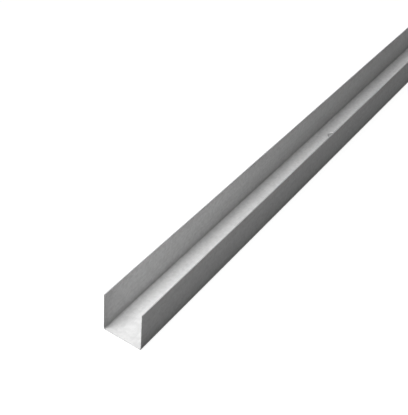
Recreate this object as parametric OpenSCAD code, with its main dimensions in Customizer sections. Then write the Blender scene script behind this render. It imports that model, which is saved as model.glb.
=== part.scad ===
// Drywall track channel: one length of plain U section, cold rolled from thin galvanised steel strip.
// It lies on its web. +X runs along the length, +Y across the web and +Z up the flanges.
// The origin is the middle of the web's underside.

/* [Section] */
// Width of the web, over the outsides of the two flanges
web_w = 28; // [20:0.5:100]
// Height of the flanges, from the web's underside to their free edges
flange_h = 27; // [15:0.5:60]
// Thickness of the steel strip
sheet_t = 0.6; // [0.4:0.05:1.5]
// Inside radius of the two bends
bend_r = 1; // [0.4:0.1:3]
// Radius worn by the slitting knives along the two free edges
edge_r = 0.12; // [0.05:0.01:0.18]

/* [Length] */
// Length of the stock
length = 3000; // [1000:10:6000]

/* [Fixing holes] */
// Diameter of the holes punched along the middle of the web
hole_d = 8; // [4:0.5:14]
// Distance from one end to the centre of the first hole
hole_start = 290; // [50:5:400]
// Distance between the centres of neighbouring holes
hole_pitch = 300; // [100:5:600]

/* [Hidden] */
// Outside radius of the bends
bend_outer_r = bend_r + sheet_t;
// Holes that fit with at least hole_start left at the far end
hole_count = floor((length - 2 * hole_start) / hole_pitch) + 1;
// What a cutter reaches past the face that it cuts
over = 1;
$fn = 96;

// A bar of the strip's thickness with its two upper corners rounded, standing on Y = 0
module flange_strip(height) {
    square([sheet_t, height - edge_r]);
    translate([edge_r, 0]) square([sheet_t - 2 * edge_r, height]);
    for (x = [edge_r, sheet_t - edge_r])
        translate([x, height - edge_r]) circle(r = edge_r);
}

// The quarter ring that turns the web up into the right-hand flange, about its own centre
module bend() {
    intersection() {
        difference() {
            circle(r = bend_outer_r);
            circle(r = bend_r);
        }
        translate([0, -bend_outer_r]) square(bend_outer_r);
    }
}

// One half of the U: half the web, the bend and the flange, to the right of the middle
module half_section() {
    bend_x = web_w / 2 - bend_outer_r;
    square([bend_x, sheet_t]);
    translate([bend_x, bend_outer_r]) bend();
    translate([web_w / 2 - sheet_t, bend_outer_r]) flange_strip(flange_h - bend_outer_r);
}

// The whole cross-section, with the underside of the web on Y = 0
module section() {
    half_section();
    mirror([1, 0]) half_section();
}

// The section carried along X, centred on the origin
module rolled_section() {
    translate([-length / 2, 0, 0])
        rotate([90, 0, 90]) linear_extrude(height = length) section();
}

// Cutters for the row of fixing holes down the middle of the web
module hole_row() {
    for (i = [0 : hole_count - 1])
        translate([-length / 2 + hole_start + i * hole_pitch, 0, -over])
            cylinder(d = hole_d, h = sheet_t + 2 * over);
}

module channel() {
    color("silver")
    difference() {
        rolled_section();
        hole_row();
    }
}

channel();
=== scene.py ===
import math

import bpy
import numpy as np
from mathutils import Matrix, Vector


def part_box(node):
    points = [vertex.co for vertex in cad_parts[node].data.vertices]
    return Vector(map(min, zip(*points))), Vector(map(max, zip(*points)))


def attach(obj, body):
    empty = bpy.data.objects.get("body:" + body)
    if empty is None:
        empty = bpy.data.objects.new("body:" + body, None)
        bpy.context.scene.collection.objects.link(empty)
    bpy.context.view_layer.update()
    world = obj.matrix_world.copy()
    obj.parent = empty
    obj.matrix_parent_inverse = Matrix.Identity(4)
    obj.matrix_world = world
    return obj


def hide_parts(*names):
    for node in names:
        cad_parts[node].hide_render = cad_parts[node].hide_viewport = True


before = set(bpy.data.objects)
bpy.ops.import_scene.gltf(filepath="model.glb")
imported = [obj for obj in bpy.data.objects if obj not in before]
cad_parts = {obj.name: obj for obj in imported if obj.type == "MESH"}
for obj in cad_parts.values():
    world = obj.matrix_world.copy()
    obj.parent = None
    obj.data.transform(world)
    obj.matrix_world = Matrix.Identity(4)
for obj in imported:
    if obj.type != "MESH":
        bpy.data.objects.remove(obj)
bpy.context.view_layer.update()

# ---------------------------------------------------------------- sizes, in metres
LOW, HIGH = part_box("channel")
LENGTH = HIGH[0] - LOW[0]
WEB_W = HIGH[1] - LOW[1]
FLANGE_H = HIGH[2] - LOW[2]
# the rest repeats the part's source, which gives no box to read it from
SHEET_T = 0.0006
BEND_R = 0.001
EDGE_R = 0.00012
HOLE_R = 0.004
HOLE_START = 0.290
HOLE_PITCH = 0.300

OUTER_R = BEND_R + SHEET_T
MID_R = BEND_R + SHEET_T / 2
WEB_FLAT = WEB_W / 2 - OUTER_R
BEND_END = WEB_FLAT + MID_R * math.pi / 2
STRIP_HALF = BEND_END + FLANGE_H - OUTER_R

# fine relief of the real strip
SHEAR_R = 0.00008        # softened corner of the cut ends
ROLL_OVER = 0.00155      # how far from the hole the punch draws the face down
ROLL_DEPTH = 0.00028     # and how deep at the rim
BREAK_OUT = 0.00004      # how much wider the torn lower part of the hole wall is
TORN_START = 0.6         # share of that already there where the burnished wall ends
WALL_DEPTHS = (0.00008, 0.00014)  # depths under the lip at which that wall starts and ends
TORN_LIP = (0.00005, 0.00004)     # flare of the torn part at the underside, and its height
END_SKEW = 0.058         # how far the near end's cut is out of square, over the width
SKEW_REACH = 0.06        # length over which that setback fades
EDGE_WAVE = 0.00012      # how far the flange edges wander from a straight line
WEB_WAVE = 0.00005       # how far the middle of the web lifts
WAVE_FADE = 0.02         # length at each end over which both waves fade
# rate per metre, share and shift of each sine in the edge wave, then rate and shift in the web
EDGE_SINES = ((14.1, 1.0, 1.0), (31.7, 0.6, 2.3), (57.0, 0.35, -1.0))
WEB_SINE = (19.3, 0.7)

# how finely the sheet is divided
PATCH_HALF = 0.006       # half the side of the square that is refilled round a hole
PATCH_STEPS = 12         # steps along that side
PLAIN_STEP = 0.012       # spacing of the rows between the squares
WEB_STEPS = 3            # steps from the square to the bend
BEND_STEPS = 10          # steps round the bend
FLANGE_STEPS = 8         # steps up the flange
BESIDE_BEND = 0.0004     # distance of the close pair that holds each bend crisp
TIP_POINTS = 4           # points round the quarter turn of a slit edge
TINY = 1e-9


# ---------------------------------------------------------------- the sheet
def strip_wander(x, s):
    """How far the strip lies off its true surface, towards the inside of the channel.
    The flange edges wander by a sum of three long sines of x, grown with the square of the
    height up the flange. The web lifts between the bends by a raised cosine of s times a
    squared sine of x. Both fade to nothing over a short length at each end."""
    fade = np.clip((LENGTH / 2 - np.abs(x)) / WAVE_FADE, 0, 1) ** 2
    side = np.where(s > 0, 1.0, -1.0)
    up = np.clip((np.abs(s) - BEND_END) / (STRIP_HALF - BEND_END), 0, 1)
    sway = sum(share * np.sin(x * rate + shift * side) for rate, share, shift in EDGE_SINES)
    most = sum(share for _, share, _ in EDGE_SINES)
    flange = EDGE_WAVE * sway / most * up ** 2
    across = np.clip(np.abs(s) / WEB_FLAT, 0, 1)
    rate, shift = WEB_SINE
    web = WEB_WAVE * 0.5 * (1 + np.cos(math.pi * across)) * np.sin(x * rate + shift) ** 2
    return fade * (flange + web)


def on_strip(x, s, n):
    """The bent strip as a function of x along it, s across it and n through it.
    s is the distance along the middle line of the section from the middle of the web, and n
    the height over that line towards the inside. With a = (|s| - half the flat web) / middle
    radius, kept between 0 and a right angle, the point lies (middle radius - n) from the
    bend's centre at angle a: y = flat part + that distance x sin a, and
    z = outer radius - that distance x cos a + what is left of |s| up the flange."""
    n = n + strip_wander(x, s)
    far = np.abs(s)
    a = np.clip((far - WEB_FLAT) / MID_R, 0, math.pi / 2)
    y = np.minimum(far, WEB_FLAT) + (MID_R - n) * np.sin(a)
    z = OUTER_R - (MID_R - n) * np.cos(a) + np.maximum(far - BEND_END, 0)
    return np.stack([x, np.where(s < 0, -y, y), LOW[2] + z], axis=-1)


def across_steps():
    """Places across one face of the strip, from one slit edge to the other: even steps up
    the flange, round the bend and over the hole's square, a close pair beside each bend to
    hold it crisp, and a quarter turn of points at each slit edge."""
    turn = np.linspace(math.pi / 2, 0, TIP_POINTS)
    tip = STRIP_HALF - EDGE_R + EDGE_R * np.cos(turn)
    web = np.linspace(PATCH_HALF, WEB_FLAT - BESIDE_BEND, WEB_STEPS + 1)
    bend = np.linspace(WEB_FLAT, BEND_END, BEND_STEPS + 1)
    flange = np.linspace(BEND_END + BESIDE_BEND, STRIP_HALF - EDGE_R, FLANGE_STEPS + 1)[:-1]
    half = np.concatenate([web[1:], bend, flange, tip])
    hole_square = np.linspace(-PATCH_HALF, PATCH_HALF, PATCH_STEPS + 1)
    s = np.concatenate([-half[::-1], hole_square, half])
    n = np.full(s.size, SHEET_T / 2)
    lip = SHEET_T / 2 - EDGE_R + EDGE_R * np.sin(turn)
    n[-TIP_POINTS:] = lip
    n[:TIP_POINTS] = lip[::-1]
    return s, n


def out_of_square(points):
    """How far each point is set back because the near end is cut a little out of square: the
    skew x the distance from the right flange, fading evenly to nothing over a short reach."""
    fade = np.clip(1 - (points[:, 0] - LOW[0]) / SKEW_REACH, 0, 1)
    return END_SKEW * (points[:, 1] + WEB_W / 2) * fade


def hole_places():
    """Hole centres along x: a start from the near end, then an even pitch as far as fits."""
    count = int((LENGTH - 2 * HOLE_START) / HOLE_PITCH + TINY) + 1
    return LOW[0] + HOLE_START + HOLE_PITCH * np.arange(count)


def along_steps(holes):
    """Places along x: each hole's square in even steps, even steps between the squares, and a
    quarter turn at each cut end. The second array is how far the section draws in there:
    shear radius x (1 - cos a) where x stands shear radius x sin a beyond the last full one."""
    turn = np.radians([30, 60, 90])
    x = [np.array([LOW[0] + SHEAR_R])]
    for centre in holes:
        gap = centre - PATCH_HALF - x[-1][-1]
        steps = max(2, int(round(gap / PLAIN_STEP)))
        x.append(x[-1][-1] + gap * np.arange(1, steps) / steps)
        x.append(centre + np.linspace(-PATCH_HALF, PATCH_HALF, PATCH_STEPS + 1))
    gap = HIGH[0] - SHEAR_R - x[-1][-1]
    steps = max(2, int(round(gap / PLAIN_STEP)))
    x.append(x[-1][-1] + gap * np.arange(1, steps + 1) / steps)
    body = np.concatenate(x)
    ends = SHEAR_R * np.sin(turn)
    draw = SHEAR_R * (1 - np.cos(turn))
    x = np.concatenate([(body[0] - ends)[::-1], body, body[-1] + ends])
    return x, np.concatenate([draw[::-1], np.zeros(body.size), draw])


def hole_rings():
    """Radius and depth below the inside face of the rings down one hole. The face is drawn
    down in a quarter ellipse, then comes the burnished wall, then the torn part that flares
    to the underside. The last step of the lip already counts as wall, and the third value is
    the number of steps before it."""
    turn = np.radians([0, 18, 36, 54, 72, 90])
    rim_r = HOLE_R + ROLL_OVER * (1 - np.sin(turn))
    rim_d = ROLL_DEPTH * (1 - np.cos(turn))
    flare, height = TORN_LIP
    wall_r = HOLE_R + np.array([0.0, BREAK_OUT * TORN_START, BREAK_OUT, BREAK_OUT + flare])
    start, end = WALL_DEPTHS
    wall_d = np.array([ROLL_DEPTH + start, ROLL_DEPTH + end, SHEET_T - height, SHEET_T])
    return np.concatenate([rim_r, wall_r]), np.concatenate([rim_d, wall_d]), turn.size


def sheet_channel():
    """The whole channel as one closed skin: the inside and outside faces are on_strip over
    the two lists of places, joined round the slit edges and across the cut ends. Round each
    hole a square of the grid is left out on both faces and filled with rings that go from
    the square to a circle, down the hole and back out to the square below. Each point also
    keeps its s, its n and its distance from the middle of a hole, 1 m where there is none."""
    s, n = across_steps()
    holes = hole_places()
    x, draw = along_steps(holes)
    rows, half = x.size, s.size
    loop_s = np.concatenate([s, s[::-1]])
    loop_n = np.concatenate([n, -n[::-1]])
    cols = loop_s.size
    grid_x = np.repeat(x[:, None], cols, axis=1)
    at_tip = (np.abs(loop_s) > STRIP_HALF - EDGE_R - TINY) * np.sign(loop_s)
    grid_s = loop_s[None, :] - draw[:, None] * at_tip[None, :]
    grid_n = loop_n[None, :] * (1 - draw[:, None] / (SHEET_T / 2))
    points = [on_strip(grid_x, grid_s, grid_n).reshape(-1, 3)]
    place_s, place_n, place_r = [grid_s.ravel()], [grid_n.ravel()], [np.ones(grid_s.size)]

    number = np.arange(rows * cols).reshape(rows, cols)
    here, ahead = number[:-1], number[1:]
    quads = np.stack([here, ahead, np.roll(ahead, -1, 1), np.roll(here, -1, 1)], axis=-1)
    keep = np.ones((rows - 1, cols), bool)
    cut = np.zeros((rows - 1, cols), bool)
    cut[:, half - TIP_POINTS:half + TIP_POINTS - 1] = True
    cut[:, -TIP_POINTS:] = True
    cut[:, :TIP_POINTS - 1] = True

    first_s = int(np.argmin(np.abs(s + PATCH_HALF)))
    last_s = first_s + PATCH_STEPS
    ring_r, ring_d, before_wall = hole_rings()
    rings = ring_r.size
    step = np.arange(rings + 3)
    in_wall = (step >= before_wall) & (step <= rings)
    side, still = np.arange(PATCH_STEPS), np.zeros(PATCH_STEPS, int)
    around = 4 * PATCH_STEPS
    filled, filled_cut = [], []
    total = rows * cols
    for centre in holes:
        first_x = int(np.argmin(np.abs(x - (centre - PATCH_HALF))))
        last_x = first_x + PATCH_STEPS
        keep[first_x:last_x, first_s:last_s] = False
        keep[first_x:last_x, cols - 1 - last_s:cols - 1 - first_s] = False
        i = np.concatenate([first_x + side, last_x + still, last_x - side, first_x + still])
        j = np.concatenate([first_s + still, first_s + side, last_s + still, last_s - side])
        above, below = number[i, j], number[i, cols - 1 - j]
        square = np.stack([x[i] - centre, s[j]], axis=-1)
        angle = np.arctan2(square[:, 1], square[:, 0])
        circle = np.stack([np.cos(angle), np.sin(angle)], axis=-1)
        between = 0.5 * (square + circle * ring_r[0])
        down = circle[None] * ring_r[:, None, None]
        flat = np.concatenate([between[None], down, between[None]])
        depth = np.concatenate([[0.0], ring_d, [SHEET_T]])
        ring_n = np.repeat(SHEET_T / 2 - depth[:, None], around, axis=1)
        points.append(on_strip(centre + flat[..., 0], flat[..., 1], ring_n).reshape(-1, 3))
        place_s.append(flat[..., 1].ravel())
        place_n.append(ring_n.ravel())
        place_r.append(np.hypot(flat[..., 0], flat[..., 1]).ravel())
        fresh = total + np.arange((rings + 2) * around).reshape(rings + 2, around)
        total += fresh.size
        stack = np.concatenate([above[None], fresh, below[None]])
        outer, inner = stack[:-1], stack[1:]
        corners = [outer, np.roll(outer, -1, 1), np.roll(inner, -1, 1), inner]
        filled.append(np.stack(corners, axis=-1).reshape(-1, 4))
        filled_cut.append(np.repeat(in_wall, around))

    inside, outside = number[:, :half], number[:, half:][:, ::-1]
    start = [inside[0, :-1], inside[0, 1:], outside[0, 1:], outside[0, :-1]]
    finish = [inside[-1, 1:], inside[-1, :-1], outside[-1, :-1], outside[-1, 1:]]
    ends = np.concatenate([np.stack(start, axis=-1), np.stack(finish, axis=-1)])
    faces = np.concatenate([quads[keep], ends] + filled)
    is_cut = np.concatenate([cut[keep], np.ones(len(ends), bool)] + filled_cut)

    points = np.concatenate(points)
    points[:, 0] += out_of_square(points)
    place = np.stack([np.concatenate(part) for part in (place_s, place_n, place_r)], axis=-1)
    used = np.unique(faces)
    renumber = np.zeros(len(points), np.int64)
    renumber[used] = np.arange(used.size)
    return points[used], renumber[faces], is_cut, place[used]


def mesh_of_quads(name, points, faces):
    """A mesh from whole arrays: point coordinates and four point numbers to a face."""
    mesh = bpy.data.meshes.new(name)
    mesh.vertices.add(len(points))
    mesh.vertices.foreach_set("co", np.ascontiguousarray(points, np.float32).ravel())
    mesh.loops.add(faces.size)
    mesh.loops.foreach_set("vertex_index", np.ascontiguousarray(faces, np.int32).ravel())
    mesh.polygons.add(len(faces))
    mesh.polygons.foreach_set("loop_start", np.arange(0, faces.size, 4, dtype=np.int32))
    mesh.update(calc_edges=True)
    mesh.validate()
    return mesh


# ---------------------------------------------------------------- node helpers
def add(tree, kind, **settings):
    """One node, with its settings by name."""
    node = tree.nodes.new(kind)
    for key, value in settings.items():
        setattr(node, key, value)
    return node


def feed(tree, source, target):
    """Joins an output to an input, or writes a plain value into the input."""
    if isinstance(source, bpy.types.NodeSocket):
        tree.links.new(source, target)
    else:
        target.default_value = source


def maths(tree, operation, a, b=0.0, c=0.0):
    """One sum of up to three values, and its result."""
    node = add(tree, "ShaderNodeMath", operation=operation)
    feed(tree, a, node.inputs[0])
    feed(tree, b, node.inputs[1])
    feed(tree, c, node.inputs[2])
    return node.outputs[0]


def levelled(tree, value, gain, base):
    """The value times a gain, plus a base."""
    return maths(tree, "MULTIPLY_ADD", value, gain, base)


def painted(tree, name):
    """The value that the mesh keeps at each point under this name."""
    return add(tree, "ShaderNodeAttribute", attribute_name=name).outputs["Fac"]


def stretched(tree, vector, scale):
    """The coordinates times a scale on each axis."""
    node = add(tree, "ShaderNodeMapping")
    feed(tree, vector, node.inputs["Vector"])
    node.inputs["Scale"].default_value = scale
    return node.outputs["Vector"]


def mottle(tree, vector, scale=1.0, detail=2.0, rough=0.5):
    """Soft noise from 0 to 1."""
    node = add(tree, "ShaderNodeTexNoise")
    feed(tree, vector, node.inputs["Vector"])
    feed(tree, scale, node.inputs["Scale"])
    node.inputs["Detail"].default_value = detail
    node.inputs["Roughness"].default_value = rough
    return node.outputs["Fac"]


def new_group(name, takes, gives):
    """A shader node group with named inputs and outputs."""
    tree = bpy.data.node_groups.new(name, "ShaderNodeTree")
    for label, kind, value in takes:
        socket = tree.interface.new_socket(name=label, in_out="INPUT", socket_type=kind)
        if value is not None:
            socket.default_value = value
    for label, kind in gives:
        tree.interface.new_socket(name=label, in_out="OUTPUT", socket_type=kind)
    return tree, add(tree, "NodeGroupInput").outputs, add(tree, "NodeGroupOutput").inputs


def place_group(tree, group, **values):
    """A group in a material, with its inputs by name, an underscore for each space."""
    node = add(tree, "ShaderNodeGroup", node_tree=group)
    for key, value in values.items():
        feed(tree, value, node.inputs[key.replace("_", " ")])
    return node.outputs


FLOAT, VECTOR = "NodeSocketFloat", "NodeSocketVector"

CELL_SMOOTHNESS = 0.6
CELL_HEIGHT = 0.35                   # height of the cells beside the speckle's 1
SPECKLES_PER_CELL = 4.0
WIDE_LINES = (2.5, 320.0, 320.0)     # noise per metre along, across and up
FINE_LINES = (7.0, 1900.0, 1900.0)
FINE_SHARE = 0.6                     # weight of the fine lines beside the wide ones' 1


def zinc_grain():
    """Fine frost of a skin-passed zinc coat: tone = 1 + contrast x (cells + speckle), where the
    cells are a smooth Voronoi value and the speckle is noise a quarter of their size, both
    less a half."""
    takes = [("Vector", VECTOR, None), ("Grain Size", FLOAT, 0.002), ("Contrast", FLOAT, 0.1)]
    gives = [("Tone", FLOAT), ("Height", FLOAT)]
    tree, given, result = new_group("zinc_grain", takes, gives)
    scale = maths(tree, "DIVIDE", 1.0, given["Grain Size"])
    cells = add(tree, "ShaderNodeTexVoronoi", feature="SMOOTH_F1", distance="EUCLIDEAN")
    feed(tree, given["Vector"], cells.inputs["Vector"])
    feed(tree, scale, cells.inputs["Scale"])
    cells.inputs["Smoothness"].default_value = CELL_SMOOTHNESS
    split = add(tree, "ShaderNodeSeparateColor")
    feed(tree, cells.outputs["Color"], split.inputs[0])
    cell = maths(tree, "SUBTRACT", split.outputs[0], 0.5)
    finer = maths(tree, "MULTIPLY", scale, SPECKLES_PER_CELL)
    speckle = mottle(tree, given["Vector"], finer, detail=3.0, rough=0.6)
    speckle = maths(tree, "SUBTRACT", speckle, 0.5)
    both = maths(tree, "ADD", cell, speckle)
    feed(tree, levelled(tree, both, gain=given["Contrast"], base=1.0), result["Tone"])
    feed(tree, levelled(tree, cell, gain=CELL_HEIGHT, base=speckle), result["Height"])
    return tree


def rolling_lines():
    """Long fine lines left by the rolls: noise stretched along the strip, two widths of it
    added. Tone = 1 + contrast x (wide + fine share x fine - the middle of that sum)."""
    takes = [("Vector", VECTOR, None), ("Contrast", FLOAT, 0.1)]
    gives = [("Tone", FLOAT), ("Height", FLOAT)]
    tree, given, result = new_group("rolling_lines", takes, gives)
    wide = mottle(tree, stretched(tree, given["Vector"], WIDE_LINES), rough=0.55)
    fine = mottle(tree, stretched(tree, given["Vector"], FINE_LINES), rough=0.6)
    both = maths(tree, "ADD", wide, maths(tree, "MULTIPLY", fine, FINE_SHARE))
    centred = maths(tree, "SUBTRACT", both, (1 + FINE_SHARE) / 2)
    feed(tree, levelled(tree, centred, gain=given["Contrast"], base=1.0), result["Tone"])
    feed(tree, fine, result["Height"])
    return tree


GRAIN, LINES = zinc_grain(), rolling_lines()


def bare_material(name):
    """A new material with its Principled shader already on the output."""
    material = bpy.data.materials.new(name)
    material.use_nodes = True
    tree = material.node_tree
    tree.nodes.clear()
    shader = add(tree, "ShaderNodeBsdfPrincipled")
    output = add(tree, "ShaderNodeOutputMaterial")
    tree.links.new(shader.outputs[0], output.inputs["Surface"])
    return material, tree, shader


def toned(tree, colour, tone):
    """The colour with its brightness times the tone."""
    node = add(tree, "ShaderNodeHueSaturation")
    node.inputs["Color"].default_value = colour
    feed(tree, tone, node.inputs["Value"])
    return node.outputs["Color"]


def bumped(tree, height, strength, distance):
    """A normal tilted by the height."""
    node = add(tree, "ShaderNodeBump")
    node.inputs["Strength"].default_value = strength
    node.inputs["Distance"].default_value = distance
    feed(tree, height, node.inputs["Height"])
    return node.outputs["Normal"]


ZINC = (0.670, 0.670, 0.670, 1.0)
BARE_STEEL = (0.80, 0.80, 0.80, 1.0)
CLOUDS = (9.0, 45.0, 45.0)       # noise per metre along, across and up
SHEAR_MARKS = (3000.0, 3000.0, 300.0)

# painted light and shade in the face's tone, different on the inside and the outside of the
# strip
FLANGE_PAINTED_LIGHT = (0.36, 0.30)         # painted light, rising from the bend to the slit edge
BEND_PAINTED_SHADE_SHARE = 0.25                 # share of that rise first taken away round the bend, a painted shade
CREASE_PAINTED_SHADE = (0.36, 0.50)       # painted shade in the bend's crease
CREASE_SHADE_REACH = (0.0036, 0.0044)  # how far up the flange that painted shade fades
CREASE_SHADE_REACH_WEB = 0.0004        # and how far over the web
CREASE_SHADE_PLACE = (0.75, 0.5)       # where in the bend it is deepest, from web 0 to flange 1

RIM_PAINTED_LIGHT_STRENGTH = 0.60              # strength of the painted highlight and the painted shade at a hole's rim

# how the painted highlight and shade run round a hole, from its rim 0 to where the face is flat
# again 1
HIGHLIGHT_SIDE_PLACES, HIGHLIGHT_SIDE_TONES = (0.0, 0.15, 0.32, 0.65, 1.0), (-1.0, -0.9, 0.2, 1.5, 0.0)
SHADE_SIDE_PLACES, SHADE_SIDE_TONES = (0.0, 0.40, 0.9), (-1.1, -0.9, 0.0)
HIGHLIGHT_TURN = 1.6                   # how quickly the painted highlight takes over round the hole

# tone of the cut faces: painted light on the web's ends, painted shade on a hole's wall
CUT_TONE_FLANGE = 0.25
CUT_PAINTED_LIGHT_WEB = 1.15
CUT_TONE_SLIT = 0.52
CUT_PAINTED_SHADE_HOLE = 0.20


def galvanised_face():
    """Satin zinc coat: a neutral grey with fine grain, long rolling lines, a slow cloudiness
    and a rubbed, slightly smoother band round the bends. Its tone is then multiplied by the
    painted light and shade that the mesh keeps: flanges painted lighter towards the slit edge,
    painted shade in the bends and a painted highlight and shade round each hole."""
    material, tree, shader = bare_material("galvanised_face")
    where = add(tree, "ShaderNodeTexCoord").outputs["Object"]
    grain = place_group(tree, GRAIN, Vector=where, Grain_Size=0.0018, Contrast=0.14)
    lines = place_group(tree, LINES, Vector=where, Contrast=0.18)
    cloud = mottle(tree, stretched(tree, where, CLOUDS), detail=3.0, rough=0.55)
    cloud_tone = levelled(tree, cloud, gain=0.12, base=0.94)
    patchy = levelled(tree, cloud, gain=0.8, base=0.2)
    rubbed = maths(tree, "MULTIPLY", painted(tree, "bend"), patchy)
    texture = maths(tree, "MULTIPLY", grain["Tone"], lines["Tone"])
    tone = maths(tree, "MULTIPLY", texture, cloud_tone)
    tone = levelled(tree, rubbed, gain=0.05, base=tone)
    # the face's tone times the painted light and shade kept on the mesh, with the painted
    # highlight and shade at each hole's rim added in
    painted_light_and_shade, rim_painted_light = painted(tree, "painted_light_tone"), painted(tree, "rim_painted_light")
    painted_light_and_shade = levelled(tree, rim_painted_light, gain=RIM_PAINTED_LIGHT_STRENGTH, base=painted_light_and_shade)
    tone = maths(tree, "MULTIPLY", tone, painted_light_and_shade)
    feed(tree, toned(tree, ZINC, tone), shader.inputs["Base Color"])
    dull = levelled(tree, cloud, gain=0.16, base=0.44)
    dull = levelled(tree, rubbed, gain=-0.12, base=dull)
    feed(tree, dull, shader.inputs["Roughness"])
    shader.inputs["Metallic"].default_value = 0.03
    shader.inputs["Specular IOR Level"].default_value = 0.05
    height = levelled(tree, lines["Height"], gain=0.8, base=grain["Height"])
    feed(tree, bumped(tree, height, strength=0.25, distance=0.00004), shader.inputs["Normal"])
    return material


def sheared_edge():
    """Cut steel, less matt than the coat, with close marks across the thickness. Its tone at
    each point is the cut tone, which is painted light on the web's ends and painted shade on
    a hole's wall."""
    material, tree, shader = bare_material("sheared_edge")
    where = add(tree, "ShaderNodeTexCoord").outputs["Object"]
    grain = place_group(tree, GRAIN, Vector=where, Grain_Size=0.0006, Contrast=0.25)
    marks = mottle(tree, stretched(tree, where, SHEAR_MARKS))
    marked = levelled(tree, marks, gain=0.5, base=0.75)
    tone = maths(tree, "MULTIPLY", grain["Tone"], marked)
    # the cut tone holds painted light on the web's ends and painted shade on a hole's wall
    tone = maths(tree, "MULTIPLY", tone, painted(tree, "cut_tone_and_painted_light"))
    feed(tree, toned(tree, BARE_STEEL, tone), shader.inputs["Base Color"])
    feed(tree, levelled(tree, marks, gain=0.2, base=0.42), shader.inputs["Roughness"])
    shader.inputs["Metallic"].default_value = 0.45
    shader.inputs["Specular IOR Level"].default_value = 0.2
    feed(tree, bumped(tree, marks, strength=0.3, distance=0.00003), shader.inputs["Normal"])
    return material


def surface_and_painted_light_values(points, place):
    """How the surface differs over the strip, as four values at each point.
    Bend is a half sine over each bend and nothing elsewhere. The painted light tone is painted
    light and shade: it is 1 on the web, falls by a share of the flanges' painted light round
    the bend and rises evenly up the flange by the whole of it, so the flanges are painted
    lighter towards the slit edge. It then loses the painted crease shade x exp(-distance from
    the crease shade place / reach). The rim's painted light is near -1 on a hole's lip, a
    painted shade. On the side away from the near end it rises over that lip to 1.5 where the
    face starts to dip, a painted highlight, and then falls to 0. Cut tone is highest on the
    web's ends, where it is painted light, less on the flanges' ends and the older slit edges,
    and least on the wall of a hole, where it is painted shade."""
    s, n, r = np.abs(place[:, 0]), place[:, 1], place[:, 2]
    inside = n > 0
    turn = np.clip((s - WEB_FLAT) / (BEND_END - WEB_FLAT), 0, 1)
    up = np.clip((s - BEND_END) / (STRIP_HALF - BEND_END), 0, 1)
    off = s - WEB_FLAT - np.where(inside, *CREASE_SHADE_PLACE) * (BEND_END - WEB_FLAT)
    reach = np.where(off > 0, np.where(inside, *CREASE_SHADE_REACH), CREASE_SHADE_REACH_WEB)
    # painted light: the flanges grow lighter up to the slit edge, with painted shade round the
    # bend
    tone = 1 + np.where(inside, *FLANGE_PAINTED_LIGHT) * (up - BEND_PAINTED_SHADE_SHARE * turn)
    # painted shade in the crease of each bend
    tone = tone * (1 - np.where(inside, *CREASE_PAINTED_SHADE) * np.exp(-np.abs(off) / reach))
    below = n < SHEET_T / 2 - ROLL_DEPTH - TINY
    out = (r - HOLE_R) / ROLL_OVER
    holes = hole_places()
    past_hole = points[:, 0] - holes[np.argmin(np.abs(points[:, :1] - holes), axis=1)]
    # the painted highlight lies on the side of each hole away from the near end, the painted
    # shade on the side towards it
    forward = np.clip(HIGHLIGHT_TURN * past_hole / r, 0, 1)
    # rubbed here runs from a painted shade at the lip to a painted highlight where the face
    # starts to dip
    rubbed = np.interp(out, HIGHLIGHT_SIDE_PLACES, HIGHLIGHT_SIDE_TONES)
    shade_side = np.interp(out, SHADE_SIDE_PLACES, SHADE_SIDE_TONES)
    rim_painted_light = np.where(out < 1, shade_side + (rubbed - shade_side) * forward, 0)
    # painted light on the web's cut ends, painted shade on the hole walls
    cut = np.where(s > WEB_FLAT, CUT_TONE_FLANGE, CUT_PAINTED_LIGHT_WEB)
    cut = np.where(s > STRIP_HALF - EDGE_R - TINY, CUT_TONE_SLIT, cut)
    cut = np.where(below & (r < HOLE_R + 2 * BREAK_OUT), CUT_PAINTED_SHADE_HOLE, cut)
    bend = np.sin(math.pi * turn)
    return {"bend": bend, "painted_light_tone": tone, "rim_painted_light": rim_painted_light, "cut_tone_and_painted_light": cut}


def make_channel():
    """The channel piece: the closed skin with its two finishes and the values of its surface,
    among them its painted light and shade.
    """
    points, faces, is_cut, place = sheet_channel()
    mesh = mesh_of_quads("drywall_track", points, faces)
    mesh.materials.append(galvanised_face())
    mesh.materials.append(sheared_edge())
    mesh.polygons.foreach_set("material_index", is_cut.astype(np.int32))
    mesh.polygons.foreach_set("use_smooth", np.ones(len(faces), bool))
    for name, values in surface_and_painted_light_values(points, place).items():
        layer = mesh.attributes.new(name, "FLOAT", "POINT")
        layer.data.foreach_set("value", values.astype(np.float32))
    piece = bpy.data.objects.new("drywall_track", mesh)
    bpy.context.scene.collection.objects.link(piece)
    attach(piece, "root")
    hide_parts("channel")
    return piece


# ---------------------------------------------------------------- camera
SENSOR = 36.0                    # mm along the longer side of the frame
LENS_RATIO = 886.0 / 415.0       # focal length over that side
HEADING, DOWN, TILT = math.radians(29.00), math.radians(35.54), math.radians(5.00)
FROM_NEAR_END = Vector((-0.3038, -0.2151, 0.3636))
NEAREST, FARTHEST = 0.01, 100


def make_camera():
    """The camera looks along the heading, turned down and tilted about its own axis. It
    stands at its offset from the underside of the near end."""
    data = bpy.data.cameras.new("camera")
    data.sensor_width = SENSOR
    data.lens = LENS_RATIO * SENSOR
    data.clip_start, data.clip_end = NEAREST, FARTHEST
    camera = bpy.data.objects.new("camera", data)
    flat_ahead = Vector((math.cos(HEADING), math.sin(HEADING), 0))
    ahead = flat_ahead * math.cos(DOWN) + Vector((0, 0, -math.sin(DOWN)))
    level = Vector((math.sin(HEADING), -math.cos(HEADING), 0))
    upright = level.cross(ahead)
    right = math.cos(TILT) * level + math.sin(TILT) * upright
    top = -math.sin(TILT) * level + math.cos(TILT) * upright
    turn = Matrix((right, top, -ahead)).transposed().to_4x4()
    place = Vector((LOW[0], (LOW[1] + HIGH[1]) / 2, LOW[2])) + FROM_NEAR_END
    camera.matrix_world = Matrix.Translation(place) @ turn
    bpy.context.scene.collection.objects.link(camera)
    bpy.context.scene.camera = camera


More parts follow.
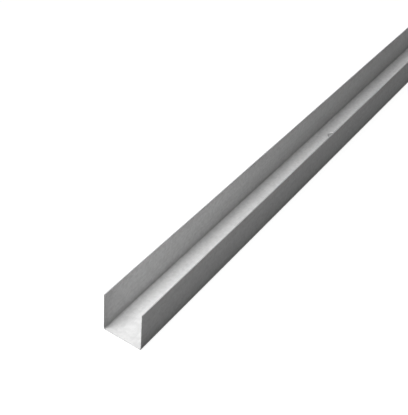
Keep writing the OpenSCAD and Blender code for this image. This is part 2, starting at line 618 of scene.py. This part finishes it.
# ---------------------------------------------------------------- floor, world and lamps
FLOOR_HALF = 15.0
FLOOR_COLOUR = 0.2
FLOOR_GLOW = 0.94
FLOOR_UNDER_COLOUR = 0.48
UNDER_INSET = 0.002              # how far the covered strip lies inside the track's outline
AMBIENT = 0.01


def seen_ray(tree):
    """1 for rays that show the background: from the camera, off gloss and through glass."""
    path = add(tree, "ShaderNodeLightPath").outputs
    both = maths(tree, "MAXIMUM", path["Is Camera Ray"], path["Is Glossy Ray"])
    return maths(tree, "MAXIMUM", both, path["Is Transmission Ray"])


def floor_material(name, colour, glow):
    """Plain pale floor. Its own colour takes the lamps' light and the shadow, and a plain
    glow, only for rays that show the background, lifts it to the white of the room."""
    material = bpy.data.materials.new(name)
    material.use_nodes = True
    tree = material.node_tree
    tree.nodes.clear()
    paint = add(tree, "ShaderNodeBsdfDiffuse")
    paint.inputs["Color"].default_value = (colour, colour, colour, 1)
    light = add(tree, "ShaderNodeEmission")
    feed(tree, maths(tree, "MULTIPLY", seen_ray(tree), glow), light.inputs["Strength"])
    both = add(tree, "ShaderNodeAddShader")
    tree.links.new(paint.outputs[0], both.inputs[0])
    tree.links.new(light.outputs[0], both.inputs[1])
    tree.links.new(both.outputs[0], add(tree, "ShaderNodeOutputMaterial").inputs["Surface"])
    return material


def make_floor():
    """A level square of nine faces. The middle one is the strip that the track covers, where
    the floor is in its shade and has no glow."""
    across = WEB_W / 2 - UNDER_INSET
    along = LENGTH / 2 - UNDER_INSET
    x = np.array([-FLOOR_HALF, -along, along, FLOOR_HALF])
    y = np.array([-FLOOR_HALF, -across, across, FLOOR_HALF])
    grid = np.stack(np.meshgrid(x, y, indexing="ij"), axis=-1).reshape(-1, 2)
    points = np.concatenate([grid, np.full((len(grid), 1), LOW[2])], axis=1)
    number = np.arange(len(grid)).reshape(x.size, y.size)
    corners = [number[:-1, :-1], number[1:, :-1], number[1:, 1:], number[:-1, 1:]]
    faces = np.stack(corners, axis=-1).reshape(-1, 4)
    mesh = mesh_of_quads("floor", points, faces)
    mesh.materials.append(floor_material("floor", FLOOR_COLOUR, FLOOR_GLOW))
    mesh.materials.append(floor_material("floor_under_track", FLOOR_UNDER_COLOUR, 0.0))
    is_middle = np.arange(len(faces)) == len(faces) // 2
    mesh.polygons.foreach_set("material_index", is_middle.astype(np.int32))
    floor = bpy.data.objects.new("floor", mesh)
    bpy.context.scene.collection.objects.link(floor)


def make_world():
    """A white room to look at, which gives next to no light of its own."""
    world = bpy.data.worlds.new("room")
    world.use_nodes = True
    tree = world.node_tree
    tree.nodes.clear()
    room = add(tree, "ShaderNodeBackground")
    room.inputs["Color"].default_value = (1, 1, 1, 1)
    strength = levelled(tree, seen_ray(tree), gain=1.0 - AMBIENT, base=AMBIENT)
    feed(tree, strength, room.inputs["Strength"])
    tree.links.new(room.outputs[0], add(tree, "ShaderNodeOutputWorld").inputs["Surface"])
    bpy.context.scene.world = world


def soft_lamp(name, place, aim, size, power):
    """A soft rectangular lamp at a place, turned to face a point."""
    data = bpy.data.lights.new(name, "AREA")
    data.shape = "RECTANGLE"
    data.size, data.size_y = size
    data.energy = power
    lamp = bpy.data.objects.new(name, data)
    lamp.location = place
    lamp.rotation_euler = (Vector(aim) - Vector(place)).to_track_quat("-Z", "Y").to_euler()
    lamp.visible_camera = False
    bpy.context.scene.collection.objects.link(lamp)


AIM_IN, AIM_UP = 0.05, 0.01      # where the lamps at an end aim, from its underside
OVER_END_SIZE = (0.15, 0.15)
OVER_END_BACK, OVER_END_LEFT, OVER_END_UP = 0.139, 0.051, 0.317
BESIDE_SIZE = (0.5, 0.06)
BESIDE_PLACE = Vector((-0.05, -0.46, 0.19))
BESIDE_AIM = Vector((0.05, 0.0, 0.0))
OVER_LENGTH_SIZE = (3.4, 0.8)
OVER_LENGTH_PLACE = Vector((0.0, 0.25, 1.6))
OVER_NEAR_POWER, OVER_FAR_POWER, BESIDE_POWER = 1.06, 0.49, 0.165
OVER_LENGTH_POWER = 19.4


def make_lamps():
    """A small lamp over each end, weaker at the far one, a low one beside the near end and a
    long one high over the whole length."""
    near_end = Vector((LOW[0] + AIM_IN, 0.0, LOW[2] + AIM_UP))
    far_end = Vector((HIGH[0] - AIM_IN, 0.0, LOW[2] + AIM_UP))
    middle = Vector((0.0, 0.0, LOW[2]))
    over_near = near_end + Vector((-OVER_END_BACK, OVER_END_LEFT, OVER_END_UP))
    over_far = far_end + Vector((OVER_END_BACK, OVER_END_LEFT, OVER_END_UP))
    beside, beside_aim = near_end + BESIDE_PLACE, near_end + BESIDE_AIM
    over_length = middle + OVER_LENGTH_PLACE
    soft_lamp("over_near_end", over_near, near_end, OVER_END_SIZE, OVER_NEAR_POWER)
    soft_lamp("over_far_end", over_far, far_end, OVER_END_SIZE, OVER_FAR_POWER)
    soft_lamp("beside_near_end", beside, beside_aim, BESIDE_SIZE, BESIDE_POWER)
    soft_lamp("over_length", over_length, middle, OVER_LENGTH_SIZE, OVER_LENGTH_POWER)


make_camera()
make_channel()
make_floor()
make_world()
make_lamps()

scene = bpy.context.scene
scene.view_settings.view_transform = "Standard"
